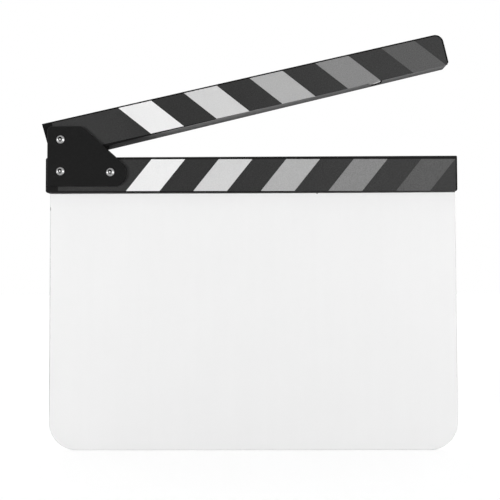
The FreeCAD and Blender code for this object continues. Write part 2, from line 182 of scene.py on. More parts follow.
class PlateFinish(PropertyGroup):
    """Both hinge plates."""
    coat: colour("Coat", "Matt black powder coat", 22)
    shine: share("Shine", "How strongly the coat reflects", 0.08)
    roughness: share("Roughness", "How matt the coat is", 0.36)
    mark_scale: length("Mark Scale", "Scale of the marks that hands have left", 4.0)
    handled: share("Handling", "How far those marks show in the gloss", 0.2)
    peel_size: length("Peel Size", "Size of the coat's dimples", 1.1)
    peel_depth: length("Peel Depth", "Depth of the coat's dimples", 0.02)
    peel_tone: share("Peel Tone", "How far the dimples show in the colour", 1.0)
    worn: colour("Worn Coat", "Colour of the rubbed rim", 70)
    rim_width: length("Rim Width", "Depth of the rubbed rim behind the outer face", 0.5)
    rim_patch: length("Rim Patch", "Size of the patches that are whole", 6)
    rim_gaps: share("Rim Gaps", "How whole those patches are", 1.0)
    wear: share("Wear", "How much of the rim is rubbed", 0.2)
    rim_polish: share("Rim Polish", "How much glossier the rim is", 0.15)


class SteelFinish(PropertyGroup):
    """Socket screws and sleeve nuts."""
    plating: colour("Plating", "Bright plated steel", 156)
    roughness: share("Roughness", "How satin the plating is", 0.36)
    streak_width: length("Streak Width", "Width of a rubbed streak", 1.5)
    rubbed: share("Rubbing", "How far rubbing shows in the gloss", 0.12)
    grain_size: length("Grain Size", "Size of the plating's fine unevenness", 0.4)
    grain_tone: share("Grain Tone", "How far it shows in the colour", 0.12)
    # Painted shade in each socket, darker at the top, and round the rim of each head.
    socket_radius: length("Socket Radius", "Reach of the grime round each fastener's axis", 1.7)
    socket_squeeze: share("Socket Squeeze", "Width of the grime over its height", 0.85)
    painted_socket_shade: share("Socket Grime", "How dark the top of each socket has become", 1.0)
    painted_foot_shade: share("Foot Grime", "How dark the foot of each socket has become", 0.65)
    painted_seat_shade: share("Seat Grime", "How dark the rim of each head has become", 0.6)
    # Painted glint in each socket.
    glint_radius: length("Rub Radius", "Size of the spot that the key has rubbed bright", 0.7)
    glint_offset: length("Rub Offset", "How far left of the axis that spot lies", 0.36)
    glint_rise: length("Rub Rise", "How far above the axis that spot lies", 0.15)
    glint_tone: colour("Rub Colour", "Steel rubbed bright by the key", 252)
    ring_pitch: length("Ring Pitch", "Spacing of the turning marks", 0.22)
    ring_depth: length("Ring Depth", "Depth of the turning marks", 0.004)
    ring_gloss: share("Ring Gloss", "How far the turning marks show in the gloss", 0.02)


class PrintFinish(PropertyGroup):
    """Printed films on the sticks and the bands on them."""
    field: colour("Field", "Dark ground of the films", 47)
    white: colour("White Band", "First band from the hinge", 235)
    pale_grey: colour("Pale Grey Band", "Second band from the hinge", 207)
    light_grey: colour("Light Grey Band", "Third band from the hinge", 175)
    mid_grey: colour("Mid Grey Band", "Fourth band from the hinge", 133)
    dark_grey: colour("Dark Grey Band", "Last band before the free end", 89)
    shine: share("Shine", "How strongly the film reflects", 0.1)
    roughness: share("Roughness", "How matt the film is", 0.45)
    # The dark ground is drawn lighter towards the free end and towards the hinge.
    fade: share("Fade", "How much lighter the dark ground has become towards the free end", 0.5)
    heel_lightening: share("Heel Fade", "How much lighter it has become towards the hinge", 0.3)
    darkest_ground_place: length("Fresh Place", "From the pivot to where the ground has faded least", 80)
    fade_reach: length("Fade Reach", "From there outwards to where it has faded most", 200)
    heel_reach: length("Heel Reach", "From there inwards to where it has faded most", 60)
    tooth: share("Tooth", "How uneven the palest ink is", 0.12)
    speckle: number("Speckle", "How much more uneven the darkest ink is", 1.25, 2)
    speckle_size: length("Speckle Size", "Size of the print's unevenness", 0.75)
    speckle_depth: length("Speckle Depth", "Depth of the print's unevenness", 0.01)
    streak_width: length("Streak Width", "Width of a scuff", 3.0)
    scuff: share("Scuffs", "How far handling shows in the print", 0.05)
    scuff_gloss: share("Scuff Gloss", "How far scuffs show in the gloss", 0.2)


class LooseFilm(PropertyGroup):
    """Sliver of film that hangs loose at the fourth upper band's corner, with a painted highlight along its crease
    and its hanging edge drawn dark as a painted shadow.
    """
    reach: length("Reach", "From the corner back to where the film holds again", 10.5)
    overrun: length("Overrun", "How far the sliver goes on past the corner", 1.0)
    overlap: length("Overlap", "How far up the band it starts", 0.2)
    drop: length("Drop", "How far it hangs below the film's edge at the corner", 1.7)
    slant: share("Slant", "How much further it hangs for each length back from the corner", 0.1)
    loosening: share("Loosening", "Share of its length over which it comes loose", 0.35)
    tip_rounding: share("Tip Rounding", "Share of its length over which its tip is rounded", 0.12)
    standoff: length("Standoff", "Gap between the sliver and the band", 0.02)
    curl: length("Curl", "How far its hanging edge curls away from the stick", 0.5)
    thickness: length("Thickness", "Thickness of the film", 0.12)
    rag_size: length("Rag Size", "Size of the raggedness along the crease", 0.5)
    rag_stretch: number("Rag Stretch", "Length of that raggedness over its height", 3, 10)
    rag_depth: length("Rag Depth", "Depth of that raggedness", 0.02)
    ragged: share("Raggedness", "How far it moves the crease", 0.8)
    # Painted highlight along the crease, and painted shadow on the hanging edge below it, at its tip and past the
    # crease's end.
    crease_drop: length("Crease Drop", "From the film's edge down to the crease at the corner", 0.55)
    crease_width: length("Crease Width", "Width of the rubbed line along the crease", 0.5)
    crease_length: length("Crease Length", "From the corner back to where the crease ends", 7.2)
    crease: colour("Crease", "Ink rubbed pale along the crease", 225)
    grime: colour("Grime", "Dirt on the hanging edge", 8)
    shading_dull: share("Grime Dullness", "How much more matt the dirt is", 0.3)
    shadow_past_crease: share("Soiled", "How dirty the sliver is beyond the crease", 0.6)


class StageSetup(PropertyGroup):
    """Floor, light and camera."""
    floor: colour("Floor", "Plain pale floor", 235)
    floor_roughness: share("Floor Roughness", "How matt the floor is", 0.9)
    floor_reach: length("Floor Reach", "From the floor's middle to its sides", 4000)
    lift: colour("Floor Lift", "Brightness that lifts the floor to white for the eye", 179)
    lift_start: length("Lift Start", "From the object to where the lift begins to grow", 350)
    lift_end: length("Lift End", "From the object to where the lift is full", 1000)
    lift_gain: number("Lift Gain", "How much stronger the full lift is", 1.25, 2)
    front_level: share("Front Level", "Light from the dim room behind the camera", 0.1)
    back_level: share("Back Level", "Light from the white sweep behind the object", 1.0)
    side_power: power("Side Power", "Each of the two softboxes at the sides", 18.5)
    side_size: width_height("Side Size", "Width and height of each side softbox", (0.8, 0.32))
    side_place: place("Side Place", "Where the right softbox stands, mirrored for the left",
                      (1.5, -1.1, 0.17))
    top_power: power("Top Power", "Softbox above the camera", 1.2)
    top_size: width_height("Top Size", "Width and height of the top softbox", (0.6, 0.4))
    top_place: place("Top Place", "Where the top softbox hangs", (-0.25, -0.9, 1.5))
    aim: place("Aim", "Point that the softboxes face", (0, 0, 0.15))
    lens: FloatProperty(name="Lens", description="Focal length over a 36 mm frame", unit="CAMERA",
                        min=1, default=52.60)
    station: place("Camera Station", "Where the camera stands", (0.0041, -0.5369, 0.1279))
    pitch: angle("Pitch", "Camera tipped up", 1.894)
    yaw: angle("Yaw", "Camera turned to the left", 0.618)
    roll: angle("Roll", "Camera leaned to the right", 0.18)


class ClapperboardSettings(PropertyGroup):
    """Everything that the panel shows."""
    sheet: PointerProperty(type=SheetFinish)
    paint: PointerProperty(type=PaintFinish)
    plate: PointerProperty(type=PlateFinish)
    steel: PointerProperty(type=SteelFinish)
    film: PointerProperty(type=PrintFinish)
    loose: PointerProperty(type=LooseFilm)
    stage: PointerProperty(type=StageSetup)


def supply(tree, socket, source):
    """Link a socket to another one, or set its value."""
    if isinstance(source, bpy.types.NodeSocket):
        tree.links.new(source, socket)
    else:
        socket.default_value = source


def add_node(tree, kind, inputs=None, **settings):
    """A node with its settings made and its inputs either linked or set."""
    node = tree.nodes.new(kind)
    for name, value in settings.items():
        setattr(node, name, value)
    for name, source in (inputs or {}).items():
        supply(tree, node.inputs[name], source)
    return node


def calc(tree, operation, *values):
    """Result of a sum on sockets and numbers."""
    return add_node(tree, "ShaderNodeMath", dict(enumerate(values)), operation=operation).outputs[0]


def chain(tree, operation, first, *others):
    """One sum carried on over several sockets and numbers."""
    for other in others:
        first = calc(tree, operation, first, other)
    return first


def vector_calc(tree, operation, *vectors):
    """Result of a vector sum: a number for a length or a distance, and a vector otherwise."""
    node = add_node(tree, "ShaderNodeVectorMath", dict(enumerate(vectors)), operation=operation)
    return node.outputs["Value" if operation in ("LENGTH", "DISTANCE") else "Vector"]


def parts_of(tree, vector):
    """X, Y and Z of a vector."""
    return add_node(tree, "ShaderNodeSeparateXYZ", {0: vector}).outputs


def remap(tree, value, low, high, to_low=0.0, to_high=1.0):
    """A value eased from one range to another."""
    inputs = {"Value": value, "From Min": low, "From Max": high, "To Min": to_low, "To Max": to_high}
    return add_node(tree, "ShaderNodeMapRange", inputs, interpolation_type="SMOOTHSTEP").outputs["Result"]


def noise(tree, vector, scale, detail=3.0, roughness=0.55):
    """Even noise from 0 to 1."""
    inputs = {"Vector": vector, "Scale": scale, "Detail": detail, "Roughness": roughness}
    return add_node(tree, "ShaderNodeTexNoise", inputs).outputs["Fac"]


def stretch(tree, vector, x, y, z):
    """Coordinates scaled along each axis, so that what follows is drawn out along the small ones."""
    factors = add_node(tree, "ShaderNodeCombineXYZ", {"X": x, "Y": y, "Z": z}).outputs[0]
    return vector_calc(tree, "MULTIPLY", vector, factors)


def new_group(name, inputs, outputs):
    """A shader node group with number sockets, and coordinates where an input is called Vector."""
    group = bpy.data.node_groups.new(name, "ShaderNodeTree")
    for socket in inputs:
        kind = "NodeSocketVector" if socket == "Vector" else "NodeSocketFloat"
        group.interface.new_socket(socket, in_out="INPUT", socket_type=kind)
    for socket in outputs:
        group.interface.new_socket(socket, in_out="OUTPUT", socket_type="NodeSocketFloat")
    entry = group.nodes.new("NodeGroupInput")
    result = group.nodes.new("NodeGroupOutput")
    return group, entry.outputs, result.inputs


# Shares of the rim's width over which the rim mask sets in and dies away
RIM_RISE = (0.04, 0.25)
RIM_FALL = (0.55, 1.0)
# Noise levels between which a patch begins and is whole
PATCH_EDGE = (0.42, 0.62)
# Level that noise swings round
NOISE_MIDDLE = 0.5
# Width of an upright streak over its height, and over a blotch's width
STREAK_OVER_HEIGHT = 0.06
STREAK_OVER_BLOTCH = 0.12


def rim_wear_and_shade_group():
    """Mask on the rounded or cut rim just behind a piece's front and back faces, whole or in patches."""
    sockets = ["Vector", "Face Depth", "Rim Width", "Patch Size", "Patchiness"]
    group, given, result = new_group("Rim Wear", sockets, ["Mask"])
    depth = parts_of(group, given["Vector"])["Y"]
    behind = calc(group, "SUBTRACT", given["Face Depth"], calc(group, "ABSOLUTE", depth))
    share_behind = calc(group, "DIVIDE", behind, given["Rim Width"])
    off_face = remap(group, share_behind, *RIM_RISE)
    near_face = remap(group, share_behind, *RIM_FALL, 1.0, 0.0)
    patches = noise(group, given["Vector"], calc(group, "DIVIDE", 1.0, given["Patch Size"]), detail=4.0)
    gaps = calc(group, "MULTIPLY", remap(group, patches, *PATCH_EDGE, 1.0, 0.0), given["Patchiness"])
    mask = chain(group, "MULTIPLY", off_face, near_face, calc(group, "SUBTRACT", 1.0, gaps))
    group.links.new(mask, result["Mask"])
    return group


def fine_grain_group():
    """Fine unevenness drawn out along X, as a height and as a tone around 1."""
    sockets = ["Vector", "Size", "Stretch", "Contrast"]
    group, given, result = new_group("Fine Grain", sockets, ["Height", "Tone"])
    along = calc(group, "DIVIDE", 1.0, given["Stretch"])
    drawn = stretch(group, given["Vector"], along, 1.0, 1.0)
    grain = noise(group, drawn, calc(group, "DIVIDE", 1.0, given["Size"]))
    swing = calc(group, "MULTIPLY", calc(group, "SUBTRACT", grain, NOISE_MIDDLE), given["Contrast"])
    group.links.new(grain, result["Height"])
    group.links.new(calc(group, "ADD", swing, 1.0), result["Tone"])
    return group


def handling_group():
    """Soft blotches and upright streaks left by hands and wiping, around 0."""
    group, given, result = new_group("Handling Marks", ["Vector", "Streak Width"], ["Blotch", "Streak"])
    streak_scale = calc(group, "DIVIDE", 1.0, given["Streak Width"])
    blotch_scale = calc(group, "MULTIPLY", streak_scale, STREAK_OVER_BLOTCH)
    upright = stretch(group, given["Vector"], 1.0, 1.0, STREAK_OVER_HEIGHT)
    streaks = noise(group, upright, streak_scale, detail=4.0)
    blotches = noise(group, given["Vector"], blotch_scale, detail=2.0)
    group.links.new(calc(group, "SUBTRACT", blotches, NOISE_MIDDLE), result["Blotch"])
    group.links.new(calc(group, "SUBTRACT", streaks, NOISE_MIDDLE), result["Streak"])
    return group


GROUP_MAKERS = {
    "Rim Wear": rim_wear_and_shade_group,
    "Fine Grain": fine_grain_group,
    "Handling Marks": handling_group,
}


def effect(tree, name, **inputs):
    """A shared effect placed in a material with its own values. The group is built the first time."""
    node = tree.nodes.new("ShaderNodeGroup")
    node.node_tree = bpy.data.node_groups.get(name) or GROUP_MAKERS[name]()
    for socket, source in inputs.items():
        supply(tree, node.inputs[socket.replace("_", " ").title()], source)
    return node.outputs


def handling_marks(tree, where, streak_width):
    """Blotches and streaks of one scale."""
    return effect(tree, "Handling Marks", vector=where, streak_width=streak_width)


def fine_grain(tree, where, size, contrast, drawn_out=1.0):
    """Grain of one size."""
    return effect(tree, "Fine Grain", vector=where, size=size, stretch=drawn_out, contrast=contrast)


def face_depth(node):
    """How far a piece's outer face stands from the board's mid-plane."""
    low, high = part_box(node)
    return max(abs(low.y), abs(high.y))


def rim_wear_and_shade(tree, node, where, values):
    """Mask along one piece's rims: wear on the sticks and plates, painted shade on the board."""
    return effect(tree, "Rim Wear", vector=where, face_depth=face_depth(node), rim_width=values.rim_width,
                  patch_size=values.rim_patch, patchiness=values.rim_gaps)["Mask"]


def feed(tree, shader, **sources):
    """Give the shader's sockets what changes over the surface, or a plain value."""
    for socket, source in sources.items():
        supply(tree, shader.inputs[socket.replace("_", " ")], source)


def new_finish(name, **shader_values):
    """A material with a Principled shader whose plain values are set on its own sockets."""
    material = bpy.data.materials.new(name)
    material.use_nodes = True
    tree = material.node_tree
    shader = tree.nodes["Principled BSDF"]
    feed(tree, shader, **shader_values)
    return material, tree, shader


def piece_coordinates(tree, node, source="Object"):
    """Metres or normals in the part's frame, turned back level where the piece is on the clap arm."""
    vector = tree.nodes.new("ShaderNodeTexCoord").outputs[source]
    if BODY_OF[node] != CLAP_ARM:
        return vector
    centre = PIVOT if source == "Object" else (0, 0, 0)
    inputs = {"Vector": vector, "Center": centre, "Angle": OPEN_ANGLE}
    return add_node(tree, "ShaderNodeVectorRotate", inputs, rotation_type="Y_AXIS").outputs[0]


def shade(tree, plain, *tones):
    """A colour multiplied by tones around 1."""
    factor = chain(tree, "MULTIPLY", *tones)
    node = add_node(tree, "ShaderNodeVectorMath", {0: plain, "Scale": factor}, operation="SCALE")
    return node.outputs[0]


def blend_colours(tree, mask, plain, other):
    """One colour turning into another where the mask is 1."""
    node = add_node(tree, "ShaderNodeMix", data_type="RGBA")
    factor, first, second = node.inputs[0], node.inputs[6], node.inputs[7]
    supply(tree, factor, mask)
    supply(tree, first, plain)
    supply(tree, second, other)
    return node.outputs[2]


def raise_surface(tree, shader, height, depth):
    """Bump of a real depth on the shader's normal."""
    bump = add_node(tree, "ShaderNodeBump", {"Height": height, "Distance": depth, "Strength": 1.0})
    feed(tree, shader, Normal=bump.outputs["Normal"])


def opaque(rgb):
    """A colour with its alpha, for sockets that take four numbers."""
    return (*rgb, 1.0)


def wear_finish(node, material):
    """Give a solid its finish."""
    solid = frame["nodes"][node]
    solid.data.materials.clear()
    solid.data.materials.append(material)


# Share of an oval mark that is whole
OVAL_CORE = 0.3
# How far sideways an edge faces when it counts as the board's side
SIDE_TURN = 0.6
# Shares of the dirt line's width between which it dies away
SEAM_EDGE = (0.8, 1.2)


def soft_oval(tree, where, middle, reach):
    """Mask round a point, fading out at its reach along each axis."""
    offset = vector_calc(tree, "SUBTRACT", where, middle)
    scaled = stretch(tree, offset, *[1 / size for size in reach])
    return remap(tree, vector_calc(tree, "LENGTH", scaled), OVAL_CORE, 1.0, 1.0, 0.0)


def painted_edge_shade(tree, node, where, values):
    """How much painted shade each cut edge gets: most on the left edge, less on the right edge and the foot, and
    less under the stick and round the corners.
    """
    low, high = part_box(node)
    stick_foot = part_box("lower_stick")[0].z
    at = parts_of(tree, where)
    outward = calc(tree, "ABSOLUTE", at["X"])
    under = remap(tree, at["Z"], stick_foot - values.fade_reach, stick_foot)
    foot = remap(tree, at["Z"], low.z, low.z + values.fade_reach, 1.0, 0.0)
    corner = calc(tree, "MULTIPLY", foot, remap(tree, outward, high.x - values.fade_reach, high.x))
    thinned = calc(tree, "MULTIPLY", calc(tree, "MAXIMUM", under, corner), values.edge_shade_fade)
    sideways = parts_of(tree, piece_coordinates(tree, node, "Normal"))["X"]
    on_left = remap(tree, sideways, -SIDE_TURN, 0.0, values.left_edge_shade, values.foot_edge_shade)
    on_right = remap(tree, sideways, 0.0, SIDE_TURN, values.foot_edge_shade, values.right_edge_shade)
    held = calc(tree, "MAXIMUM", on_left, on_right)
    return calc(tree, "MULTIPLY", held, calc(tree, "SUBTRACT", 1.0, thinned))


def seam_shade_and_marks(tree, node, where, values):
    """Mask of the painted shadow line under the lower stick, and of a dark dab there and a dark mark on the left
    edge.
    """
    low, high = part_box(node)
    half_thick = (high.y - low.y) / 2
    stick_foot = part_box("lower_stick")[0].z
    at = parts_of(tree, where)
    from_widest = calc(tree, "ABSOLUTE", calc(tree, "SUBTRACT", at["X"], values.seam_place))
    width = remap(tree, from_widest, values.seam_place, high.x, values.seam_width, values.seam_ends)
    below = calc(tree, "DIVIDE", calc(tree, "SUBTRACT", stick_foot, at["Z"]), width)
    in_front = remap(tree, at["Y"], low.y, low.y + half_thick, 1.0, 0.0)
    seam = calc(tree, "MULTIPLY", remap(tree, below, *SEAM_EDGE, 1.0, 0.0), in_front)
    dab = soft_oval(tree, where, (values.seam_mark_place, low.y, stick_foot),
                    (values.seam_mark_width, half_thick, values.seam_mark_depth))
    mark = soft_oval(tree, where, (low.x, low.y, values.edge_mark_height),
                     (values.edge_mark_reach, half_thick, values.edge_mark_length))
    return chain(tree, "MAXIMUM", seam, dab, mark)


class CLAPPERBOARD_OT_dress_board(Operator):
    """Opal sheet with wipe streaks in its gloss, painted shade along its cut edges, a painted shadow line under
    the lower stick and two small dark marks
    """
    bl_idname = "clapperboard.dress_board"
    bl_label = "Dress Writing Board"

    def execute(self, context):
        values = context.scene.clapperboard.sheet
        node = "writing_board"
        material, tree, shader = new_finish("opal_sheet", Specular_IOR_Level=values.shine)
        where = piece_coordinates(tree, node)
        marks = handling_marks(tree, where, values.streak_width)
        grain = fine_grain(tree, where, values.grain_size, values.grain_tone)
        streaks = calc(tree, "MULTIPLY_ADD", marks["Streak"], values.wiped_tone, 1.0)
        clouds = calc(tree, "MULTIPLY_ADD", marks["Blotch"], values.wiped_tone, 1.0)
        face = shade(tree, values.opal, streaks, clouds, grain["Tone"])
        # Painted shade along the cut edges, most on the left edge.
        rim = rim_wear_and_shade(tree, node, where, values)
        darkness = calc(tree, "MULTIPLY", rim, painted_edge_shade(tree, node, where, values))
        shaded = blend_colours(tree, darkness, face, opaque(values.rim_shade))
        # Painted shadow line under the lower stick, with a dark dab and a dark mark.
        tint = blend_colours(tree, seam_shade_and_marks(tree, node, where, values), shaded, opaque(values.darkening))
        gloss = calc(tree, "MULTIPLY_ADD", marks["Streak"], values.wiped, values.roughness)
        gloss = calc(tree, "MULTIPLY_ADD", marks["Blotch"], values.wiped, gloss)
        feed(tree, shader, Base_Color=tint, Roughness=gloss)
        raise_surface(tree, shader, grain["Height"], values.grain_depth)
        wear_finish(node, material)
        return {"FINISHED"}


# How far along the stick its end faces where the grey from bruising dies away
END_TURN = (0.25, 0.6)
# How far towards the other stick a face looks where that grey is whole; it reaches onto the rounded front edge as
# a painted highlight
CLAP_TURN = 0.4
# Pore tones between which that grey goes from thinnest to whole, and how much is left at the thinnest
PORE_EDGE = (0.4, 1.0)
PORE_LEFT = 0.6


def clap_face(tree, node, way, where, pores, values):
    """Mask of grey from bruising on the face that meets the other stick, upward or downward, broken up by the
    pores, with a painted highlight on the rounded front edge and painted shade near the hinge and towards the
    rear.
    """
    normal = parts_of(tree, piece_coordinates(tree, node, "Normal"))
    off_end = remap(tree, normal["X"], *END_TURN, 1.0, 0.0)
    facing = remap(tree, chain(tree, "MULTIPLY", normal["Z"], way, off_end), 0.0, CLAP_TURN)
    at = parts_of(tree, where)
    # Painted shade near the hinge.
    hinge_shade = remap(tree, at["X"], PIVOT.x + values.hinge_shade_lift, PIVOT.x + values.hinge_shade_end)
    broken = remap(tree, pores, *PORE_EDGE, PORE_LEFT, 1.0)
    depth = face_depth(node)
    # Painted shade towards the rear.
    rear_shade = remap(tree, at["Y"], -depth, depth, 1.0, values.rear_shade_share)
    return chain(tree, "MULTIPLY", facing, hinge_shade, broken, rear_shade)


class CLAPPERBOARD_OT_dress_sticks(Operator):
    """Satin black paint over open wood pores, rubbed along the rims and grey from bruising where the sticks meet,
    with a painted highlight on the front edge and painted shade near the hinge and the rear
    """
    bl_idname = "clapperboard.dress_sticks"
    bl_label = "Dress Sticks"

    def execute(self, context):
        values = context.scene.clapperboard.paint
        sticks = (("lower_stick", 1.0, values.lower_shine), ("upper_stick", -1.0, values.upper_shine))
        for node, clap_way, shine in sticks:
            material, tree, shader = new_finish(f"painted_{node}", Specular_IOR_Level=shine)
            where = piece_coordinates(tree, node)
            pores = fine_grain(tree, where, values.pore_width, values.pore_tone, values.pore_stretch)
            marks = handling_marks(tree, where, values.mark_scale)
            rim = rim_wear_and_shade(tree, node, where, values)
            bruise_and_painted_light = clap_face(tree, node, clap_way, where, pores["Tone"], values)
            face = shade(tree, values.paint, pores["Tone"])
            worn = calc(tree, "MULTIPLY", rim, values.wear)
            rubbed = blend_colours(tree, worn, face, opaque(values.worn))
            tint = blend_colours(tree, bruise_and_painted_light, rubbed, opaque(values.clap_bruise_and_painted_light))
            gloss = calc(tree, "MULTIPLY_ADD", marks["Blotch"], values.handled, values.roughness)
            gloss = calc(tree, "MULTIPLY_ADD", rim, -values.rim_polish, gloss)
            gloss = calc(tree, "MULTIPLY_ADD", bruise_and_painted_light, values.clap_dull, gloss)
            feed(tree, shader, Base_Color=tint, Roughness=gloss)
            raise_surface(tree, shader, pores["Height"], values.pore_depth)
            wear_finish(node, material)
        return {"FINISHED"}


class CLAPPERBOARD_OT_dress_plates(Operator):
    """Matt powder coat with its fine dimples, rubbed round the outer rim"""
    bl_idname = "clapperboard.dress_plates"
    bl_label = "Dress Hinge Plates"

    def execute(self, context):
        values = context.scene.clapperboard.plate
        for node in ("front_hinge_plate", "rear_hinge_plate"):
            material, tree, shader = new_finish(f"coated_{node}", Specular_IOR_Level=values.shine)
            where = piece_coordinates(tree, node)
            peel = fine_grain(tree, where, values.peel_size, values.peel_tone)
            marks = handling_marks(tree, where, values.mark_scale)
            rim = rim_wear_and_shade(tree, node, where, values)
            face = shade(tree, values.coat, peel["Tone"])
            worn = calc(tree, "MULTIPLY", rim, values.wear)
            tint = blend_colours(tree, worn, face, opaque(values.worn))
            gloss = calc(tree, "MULTIPLY_ADD", marks["Blotch"], values.handled, values.roughness)
            gloss = calc(tree, "MULTIPLY_ADD", rim, -values.rim_polish, gloss)
            feed(tree, shader, Base_Color=tint, Roughness=gloss)
            raise_surface(tree, shader, peel["Height"], values.peel_depth)
            wear_finish(node, material)
        return {"FINISHED"}


# A fastener's axis in the box round it
BOX_MIDDLE = (0.5, 0.0, 0.5)
# Shares of the socket's radius out to which its painted shade is whole, and up to where it is darkest
SOCKET_CORE = 0.85
SOCKET_TOP = 0.5
# Share of the painted glint that is whole
GLINT_CORE = 0.5
# Share of the head's radius where the painted shade round its rim begins
SEAT_START = 0.88


def painted_socket_shade(tree, across, values):
    """Painted shade round a fastener's axis, darker at the top."""
    squeezed = stretch(tree, across, 1.0, 1.0, values.socket_squeeze)
    radius = values.socket_radius
    recess = remap(tree, vector_calc(tree, "LENGTH", squeezed), SOCKET_CORE * radius, radius, 1.0, 0.0)
    up = parts_of(tree, across)["Z"]
    dark = remap(tree, up, 0.0, SOCKET_TOP * radius, values.painted_foot_shade, values.painted_socket_shade)
    return calc(tree, "MULTIPLY", recess, dark)


def painted_glint(tree, across, values):
    """Painted glint beside a fastener's axis."""
    away = vector_calc(tree, "DISTANCE", across, (-values.glint_offset, 0.0, values.glint_rise))
    return remap(tree, away, GLINT_CORE * values.glint_radius, values.glint_radius, 1.0, 0.0)


def plated_steel(name, values, low, high):
    """Bright plating round a fastener's axis, for all fasteners with a box of this size."""
    material, tree, shader = new_finish(name, Metallic=1.0)
    in_box = tree.nodes.new("ShaderNodeTexCoord").outputs["Generated"]
    off_axis = vector_calc(tree, "SUBTRACT", in_box, BOX_MIDDLE)
    across = stretch(tree, off_axis, high.x - low.x, 0.0, high.z - low.z)
    radius = vector_calc(tree, "LENGTH", across)
    rings = calc(tree, "SINE", calc(tree, "DIVIDE", radius, values.ring_pitch / math.tau))
    where = tree.nodes.new("ShaderNodeTexCoord").outputs["Object"]
    marks = handling_marks(tree, where, values.streak_width)
    grain = fine_grain(tree, where, values.grain_size, values.grain_tone)
    # Painted shade in the socket and round the head's rim, and a painted glint.
    unshaded = calc(tree, "SUBTRACT", 1.0, painted_socket_shade(tree, across, values))
    outer = (high.x - low.x) / 2
    seat = remap(tree, radius, SEAT_START * outer, outer, 1.0, 1.0 - values.painted_seat_shade)
    face = shade(tree, values.plating, grain["Tone"], unshaded, seat)
    tint = blend_colours(tree, painted_glint(tree, across, values), face, opaque(values.glint_tone))
    gloss = calc(tree, "MULTIPLY_ADD", marks["Streak"], values.rubbed, values.roughness)
    gloss = calc(tree, "MULTIPLY_ADD", rings, values.ring_gloss, gloss)
    feed(tree, shader, Base_Color=tint, Roughness=gloss)
    raise_surface(tree, shader, rings, values.ring_depth)
    return material


class CLAPPERBOARD_OT_dress_fasteners(Operator):
    """Bright plated steel with turning rings, painted shade in the sockets and round the heads' rims, and a
    painted glint in each socket
    """
    bl_idname = "clapperboard.dress_fasteners"
    bl_label = "Dress Screws and Sleeve Nuts"

    def execute(self, context):
        values = context.scene.clapperboard.steel
        for kind in ("screw", "sleeve_nut"):
            members = [node for node in frame["nodes"] if node.endswith(f"_{kind}")]
            material = plated_steel(f"plated_{kind}", values, *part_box(members[0]))
            for node in members:
                wear_finish(node, material)
        return {"FINISHED"}


def printed_film(name, tone, values, node, fade=0.0, heel_lightening=0.0):
    """Matt printed film: speckled ink, faint scuffs and a fine matt texture."""
    material, tree, shader = new_finish(name, Specular_IOR_Level=values.shine)
    where = piece_coordinates(tree, node)
    contrast = values.tooth + values.speckle * (1.0 - max(tone)) ** 2
    ink = fine_grain(tree, where, values.speckle_size, contrast)
    marks = handling_marks(tree, where, values.streak_width)
    clouds = calc(tree, "MULTIPLY_ADD", marks["Blotch"], values.scuff, 1.0)
    scuffs = calc(tree, "MULTIPLY_ADD", marks["Streak"], values.scuff, 1.0)
    along = parts_of(tree, where)["X"]
    # Lighter towards the free end and towards the hinge.
    darkest_ground = PIVOT.x + values.darkest_ground_place
    outward = remap(tree, along, darkest_ground, darkest_ground + values.fade_reach, 1.0, 1.0 + fade)
    inward = remap(tree, along, darkest_ground - values.heel_reach, darkest_ground, 1.0 + heel_lightening, 1.0)
    lightened = calc(tree, "MULTIPLY", outward, inward)
    tint = shade(tree, tone, ink["Tone"], clouds, scuffs, lightened)
    gloss = calc(tree, "MULTIPLY_ADD", marks["Streak"], values.scuff_gloss, values.roughness)
    feed(tree, shader, Base_Color=tint, Roughness=gloss)
    raise_surface(tree, shader, ink["Height"], values.speckle_depth)
    wear_finish(node, material)


class CLAPPERBOARD_OT_dress_labels(Operator):
    """Dark matt film on the front of each stick"""
    bl_idname = "clapperboard.dress_labels"
    bl_label = "Dress Labels"

    def execute(self, context):
        values = context.scene.clapperboard.film
        for stick in STICKS:
            printed_film(f"printed_{stick}_field", values.field, values, f"{stick}_label",
                         values.fade, values.heel_lightening)
        return {"FINISHED"}


class CLAPPERBOARD_OT_dress_bands(Operator):
    """Leaning bands from white at the hinge to dark grey at the free end"""
    bl_idname = "clapperboard.dress_bands"
    bl_label = "Dress Bands"

    def execute(self, context):
        values = context.scene.clapperboard.film
        for stick in STICKS:
            for tone in TONES:
                node = f"{stick}_band_{tone}"
                printed_film(f"printed_{node}", getattr(values, tone), values, node)
        return {"FINISHED"}


# Steps along and down the sliver's mesh
SLIVER_COLUMNS = 24
SLIVER_ROWS = 8
# Shares of the crease's width over which its painted highlight and the painted shadow under it set in
CREASE_RISE = 0.5
SHADOW_RISE = 0.3
# Share of the crease's length where it begins to die away, and shares between which painted shadow sets in
CREASE_TAPER = 0.7
SHADOW_EDGE = (0.65, 0.9)
# Shares of the overrun, back from the corner, between which the tip's painted shadow dies away
TIP_EDGE = (0.2, 0.8)


def ease(value):
    """0 below 0, 1 above 1 and smooth between."""
    value = min(max(value, 0.0), 1.0)
    return value * value * (3 - 2 * value)


def film_corner(node):
    """Lower corner of an upper band towards the free end, on its outer face, with the clap arm level."""
    points = [OPENED.inverted() @ vertex.co for vertex in frame["nodes"][node].data.vertices]
    corner = max(points, key=lambda point: point.x - point.z)
    return Vector((corner.x, min(point.y for point in points), corner.z))


